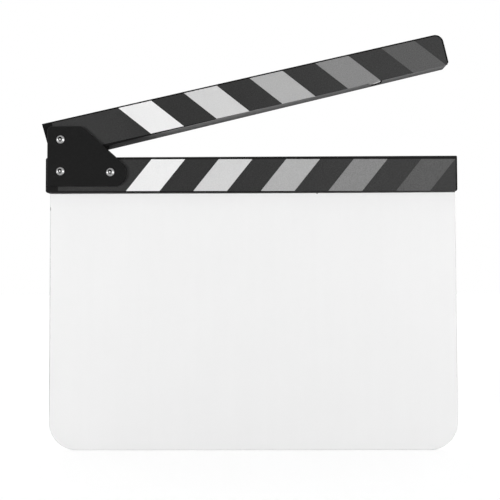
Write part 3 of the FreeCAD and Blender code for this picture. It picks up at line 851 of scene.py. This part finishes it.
def sliver_mesh(values, corner):
    """Closed sliver of film that hangs from the film's edge and curls away from the stick."""
    shape = bmesh.new()
    loops = []
    for column in range(SLIVER_COLUMNS + 1):
        along = column / SLIVER_COLUMNS
        x = corner.x - values.reach + along * (values.reach + values.overrun)
        hang = values.drop + values.slant * (corner.x - x)
        hang = hang * ease(along / values.loosening) * ease((1 - along) / values.tip_rounding)
        front, back = [], []
        for row in range(SLIVER_ROWS + 1):
            down = row / SLIVER_ROWS
            y = corner.y - values.standoff - values.curl * down ** 2
            z = corner.z + values.overlap - down * (values.overlap + hang)
            front.append(shape.verts.new((x, y - values.thickness, z)))
            back.append(shape.verts.new((x, y, z)))
        loops.append(front + back[::-1])
    for near, far in zip(loops, loops[1:]):
        for this in range(len(near)):
            shape.faces.new((near[this - 1], near[this], far[this], far[this - 1]))
    shape.faces.new(loops[0])
    shape.faces.new(loops[-1])
    bmesh.ops.recalc_face_normals(shape, faces=shape.faces)
    shape.transform(OPENED)
    mesh = bpy.data.meshes.new("loose_film_corner")
    shape.to_mesh(mesh)
    shape.free()
    return mesh


def loose_film(values, film, node, corner):
    """Printed film with a painted highlight along its crease, and painted shadow below the crease, at its tip and
    beyond the crease's end.
    """
    material, tree, shader = new_finish("loose_film", Specular_IOR_Level=film.shine)
    where = piece_coordinates(tree, node)
    rag = fine_grain(tree, where, values.rag_size, values.ragged, values.rag_stretch)
    at = parts_of(tree, where)
    back = calc(tree, "SUBTRACT", corner.x, at["X"])
    level = calc(tree, "MULTIPLY_ADD", back, -values.slant, corner.z)
    below = calc(tree, "MULTIPLY", calc(tree, "SUBTRACT", level, at["Z"]), rag["Tone"])
    drop, width, long = values.crease_drop, values.crease_width, values.crease_length
    folded = remap(tree, below, drop - width, drop - width + CREASE_RISE * width)
    held = remap(tree, back, CREASE_TAPER * long, long, 1.0, 0.0)
    under = remap(tree, below, drop, drop + SHADOW_RISE * width)
    tip = remap(tree, back, *[share_of * values.overrun for share_of in TIP_EDGE], 1.0, 0.0)
    beyond = remap(tree, back, *[share_of * long for share_of in SHADOW_EDGE], 0.0, values.shadow_past_crease)
    shadow_past_crease = calc(tree, "MULTIPLY", beyond, remap(tree, below, 0.0, width))
    # Painted shadow below the crease, at the tip and past the crease's end; painted highlight along the crease.
    darkened = chain(tree, "MAXIMUM", under, tip, shadow_past_crease)
    rubbed = calc(tree, "MULTIPLY", folded, held)
    crease_highlighted = blend_colours(tree, rubbed, opaque(film.mid_grey), opaque(values.crease))
    tint = blend_colours(tree, darkened, crease_highlighted, opaque(values.grime))
    gloss = calc(tree, "MULTIPLY_ADD", darkened, values.shading_dull, film.roughness)
    feed(tree, shader, Base_Color=tint, Roughness=gloss)
    raise_surface(tree, shader, rag["Height"], values.rag_depth)
    return material


class CLAPPERBOARD_OT_add_loose_film(Operator):
    """Sliver of film hanging loose, with a painted highlight at its crease and painted shadow along its edge"""
    bl_idname = "clapperboard.add_loose_film"
    bl_label = "Add Loose Film"

    def execute(self, context):
        settings = context.scene.clapperboard
        node = "upper_band_mid_grey"
        corner = film_corner(node)
        mesh = sliver_mesh(settings.loose, corner)
        mesh.materials.append(loose_film(settings.loose, settings.film, node, corner))
        sliver = bpy.data.objects.new(mesh.name, mesh)
        context.scene.collection.objects.link(sliver)
        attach(sliver, CLAP_ARM)
        return {"FINISHED"}


# How far back a direction points where the sky has its front level and where it has its back level
SKY_BLEND = (-0.4, 0.3)
# Nearest distance that the camera sees
NEAREST_SEEN = 10 * MM


def seen_directly(tree):
    """1 for rays from the camera, a mirror or glass, and 0 for rays that only carry light."""
    ray = tree.nodes.new("ShaderNodeLightPath").outputs
    return chain(tree, "MAXIMUM", ray["Is Glossy Ray"], ray["Is Transmission Ray"], ray["Is Camera Ray"])


def add_floor(values):
    """Pale floor that shows white where it is fully lit and keeps the object's soft shadow."""
    reach = values.floor_reach
    corners = [(-reach, -reach, 0), (reach, -reach, 0), (reach, reach, 0), (-reach, reach, 0)]
    mesh = bpy.data.meshes.new("studio_floor")
    mesh.from_pydata(corners, [], [(0, 1, 2, 3)])
    floor = bpy.data.objects.new("studio_floor", mesh)
    bpy.context.scene.collection.objects.link(floor)
    material, tree, shader = new_finish("pale_floor", Base_Color=opaque(values.floor),
                                        Roughness=values.floor_roughness, Specular_IOR_Level=0.0)
    away = vector_calc(tree, "LENGTH", tree.nodes.new("ShaderNodeTexCoord").outputs["Object"])
    gain = remap(tree, away, values.lift_start, values.lift_end, 1.0, values.lift_gain)
    feed(tree, shader, Emission_Color=shade(tree, values.lift, gain), Emission_Strength=seen_directly(tree))
    mesh.materials.append(material)


def add_softbox(name, watts, size, where, target):
    """A soft light aimed at a point and kept out of the camera's sight."""
    lamp = bpy.data.lights.new(name, "AREA")
    lamp.shape = "RECTANGLE"
    lamp.size, lamp.size_y = size
    lamp.energy = watts
    box = bpy.data.objects.new(name, lamp)
    box.location = where
    box.rotation_euler = (Vector(target) - Vector(where)).to_track_quat("-Z", "Y").to_euler()
    box.visible_camera = False
    bpy.context.scene.collection.objects.link(box)


def set_world(front_level, back_level):
    """White to the eye all round, lit by a white sweep behind the object and a dim room in front."""
    world = bpy.data.worlds.new("studio_world")
    bpy.context.scene.world = world
    world.use_nodes = True
    tree = world.node_tree
    tree.nodes.clear()
    backward = parts_of(tree, tree.nodes.new("ShaderNodeTexCoord").outputs["Generated"])["Y"]
    level = remap(tree, backward, *SKY_BLEND, front_level, back_level)
    strength = calc(tree, "MAXIMUM", seen_directly(tree), level)
    white = add_node(tree, "ShaderNodeBackground", {"Color": (1, 1, 1, 1), "Strength": strength})
    add_node(tree, "ShaderNodeOutputWorld", {"Surface": white.outputs[0]})


def add_camera(values):
    """Camera at the photograph's station."""
    lens = bpy.data.cameras.new("photo_camera")
    lens.lens = values.lens
    lens.clip_start = NEAREST_SEEN
    camera = bpy.data.objects.new("photo_camera", lens)
    turn = Matrix.Rotation(values.yaw, 4, "Z") @ Matrix.Rotation(values.pitch, 4, "X")
    turn = turn @ Matrix.Rotation(values.roll, 4, "Y") @ Matrix.Rotation(math.pi / 2, 4, "X")
    camera.matrix_world = Matrix.Translation(values.station) @ turn
    bpy.context.scene.collection.objects.link(camera)
    bpy.context.scene.camera = camera


class CLAPPERBOARD_OT_set_stage(Operator):
    """Pale floor, soft studio light, white surroundings and the camera"""
    bl_idname = "clapperboard.set_stage"
    bl_label = "Set Stage"

    def execute(self, context):
        values = context.scene.clapperboard.stage
        context.scene.view_settings.view_transform = "Standard"
        add_floor(values)
        x, y, z = values.side_place
        for name, side in (("left_softbox", -1), ("right_softbox", 1)):
            add_softbox(name, values.side_power, values.side_size, (x * side, y, z), values.aim)
        add_softbox("top_softbox", values.top_power, values.top_size, values.top_place, values.aim)
        set_world(values.front_level, values.back_level)
        add_camera(values)
        return {"FINISHED"}


class CLAPPERBOARD_PT_finishes(Panel):
    """Lists the finishes, the stage and their settings."""
    bl_idname = "CLAPPERBOARD_PT_finishes"
    bl_label = "Clapperboard"
    bl_space_type = "VIEW_3D"
    bl_region_type = "UI"
    bl_category = "Clapperboard"

    def draw(self, context):
        for section, operators in SECTIONS.items():
            values = getattr(context.scene.clapperboard, section)
            box = self.layout.box()
            for operator in operators:
                box.operator(operator.bl_idname)
            for name in type(values).__annotations__:
                box.prop(values, name)


SECTIONS = {
    "sheet": [CLAPPERBOARD_OT_dress_board],
    "paint": [CLAPPERBOARD_OT_dress_sticks],
    "plate": [CLAPPERBOARD_OT_dress_plates],
    "steel": [CLAPPERBOARD_OT_dress_fasteners],
    "film": [CLAPPERBOARD_OT_dress_labels, CLAPPERBOARD_OT_dress_bands],
    "loose": [CLAPPERBOARD_OT_add_loose_film],
    "stage": [CLAPPERBOARD_OT_set_stage],
}
GROUPS = (SheetFinish, PaintFinish, PlateFinish, SteelFinish, PrintFinish, LooseFilm, StageSetup,
          ClapperboardSettings)
OPERATORS = [operator for operators in SECTIONS.values() for operator in operators]
CLASSES = (*GROUPS, *OPERATORS, CLAPPERBOARD_PT_finishes)


def register():
    """Add the classes and the settings on the scene."""
    for item in CLASSES:
        bpy.utils.register_class(item)
    bpy.types.Scene.clapperboard = PointerProperty(type=ClapperboardSettings)


def unregister():
    """Take the settings and the classes away again."""
    del bpy.types.Scene.clapperboard
    for item in reversed(CLASSES):
        bpy.utils.unregister_class(item)


def main():
    """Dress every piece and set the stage."""
    register()
    bpy.ops.clapperboard.dress_board()
    bpy.ops.clapperboard.dress_sticks()
    bpy.ops.clapperboard.dress_plates()
    bpy.ops.clapperboard.dress_fasteners()
    bpy.ops.clapperboard.dress_labels()
    bpy.ops.clapperboard.dress_bands()
    bpy.ops.clapperboard.add_loose_film()
    bpy.ops.clapperboard.set_stage()


if __name__ == "__main__":
    main()
